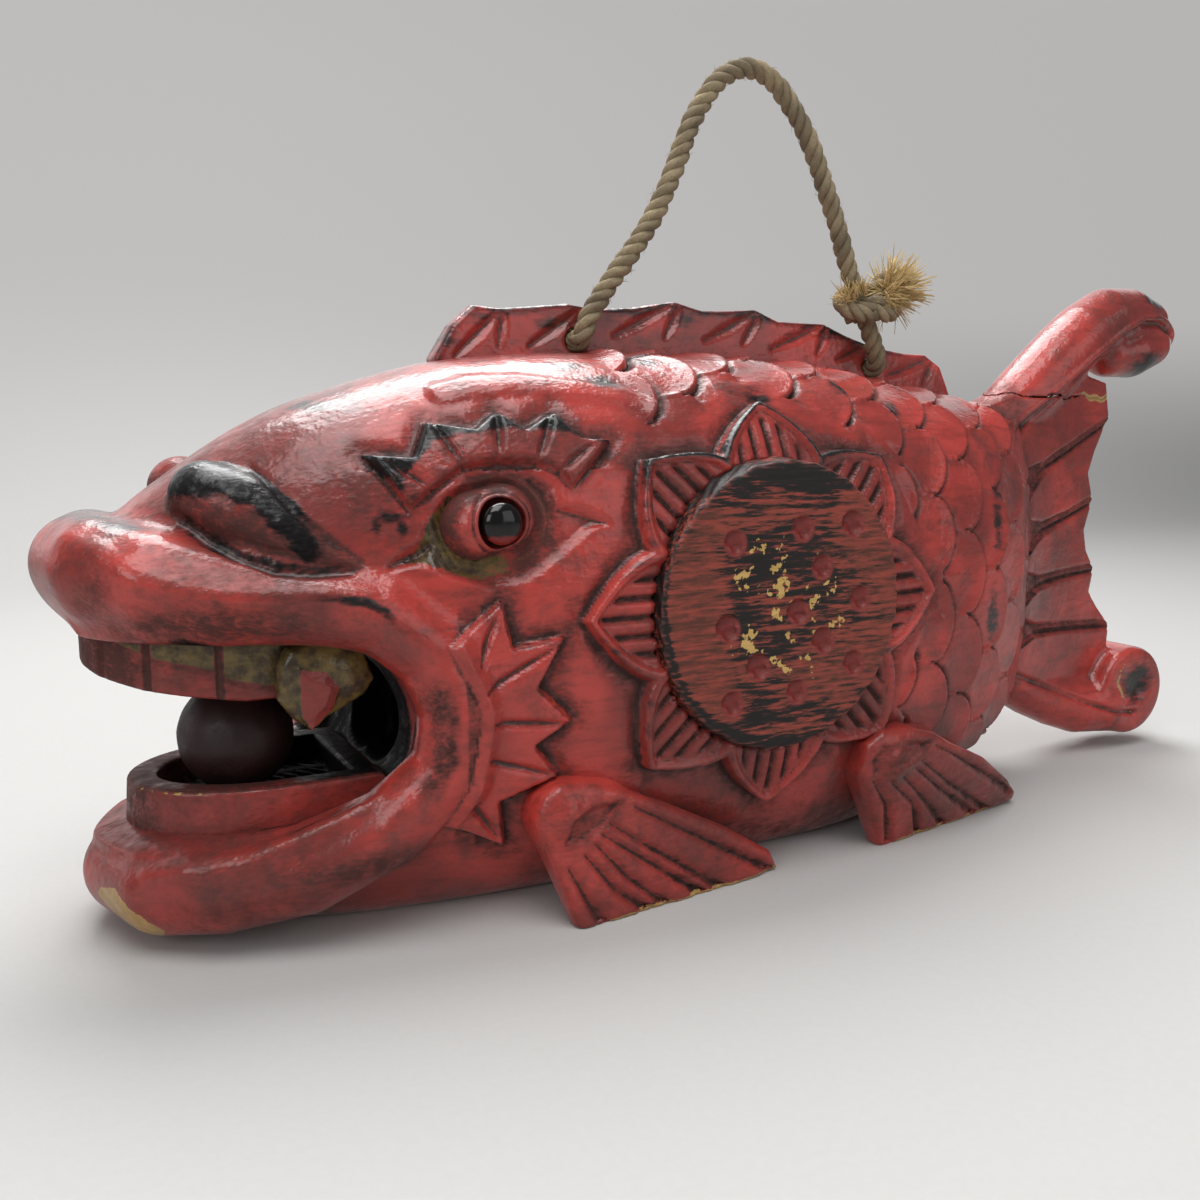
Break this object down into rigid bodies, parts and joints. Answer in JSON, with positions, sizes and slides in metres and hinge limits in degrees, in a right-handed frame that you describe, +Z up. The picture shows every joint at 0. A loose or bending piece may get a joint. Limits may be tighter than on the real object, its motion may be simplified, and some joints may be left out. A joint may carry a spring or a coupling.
{
  "type": "fish board gong",
  "caption": "Hollow red-lacquered wooden fish gong with round striking plates, a pearl in its open mouth and a rope hanging loop on the dorsal fin.",
  "frame": {"origin": "middle of the footprint, on the floor that the belly and fins rest on", "axes": "+X towards the tail, +Z up, -Y is the fish's left flank, which the picture shows"},
  "size_m": [0.7442, 0.22, 0.4304],
  "materials": {
    "lacquer": "satin red lacquer over wood, dark in the cuts",
    "worn_lacquer": "rubbed red and black lacquer",
    "dark_lacquer": "dark red-brown lacquer",
    "gold_paint": "aged gold paint over wood",
    "bare_wood": "bare",
    "black_bead": "gloss black glass-like bead",
    "hemp": "three-strand laid hemp"
  },
  "bodies": {
    "gong": {"trunk_left": "lacquer", "trunk_right": "lacquer", "seam_pegs": "bare_wood", "dorsal_fin": "lacquer", "dorsal_pins": "bare_wood", "tail_fan": "lacquer", "tail_upper_lobe": "lacquer", "tail_pegs": "bare_wood", "lobe_pegs": "bare_wood", "upper_teeth": "gold_paint", "fang_left": "gold_paint", "fang_right": "gold_paint", "lower_gum": "lacquer", "eye_left": "lacquer", "eye_right": "lacquer", "pupil_left": "black_bead", "pupil_right": "black_bead", "strike_plate_left": "worn_lacquer", "strike_plate_right": "worn_lacquer", "plate_pins": "bare_wood", "pectoral_fin_left": "lacquer", "pectoral_fin_right": "lacquer", "pelvic_fin_left": "lacquer", "pelvic_fin_right": "lacquer", "fin_pegs": "bare_wood", "rope_tuck": "hemp"},
    "rope": {"rope_loop": "hemp", "rope_knot": "hemp"},
    "pearl": {"mouth_pearl": "dark_lacquer"}
  },
  "joints": [
    {"name": "rope_swing", "type": "hinge", "parent": "gong", "child": "rope", "pos_m": [-0.107, -0.0142, 0.278], "axis": [0.9988, 0, -0.0497], "range_deg": [0, 80]},
    {"name": "pearl_roll", "type": "hinge", "parent": "gong", "child": "pearl", "pos_m": [-0.289, 0, 0.08575], "axis": [0, 1, 0], "continuous": true}
  ]
}
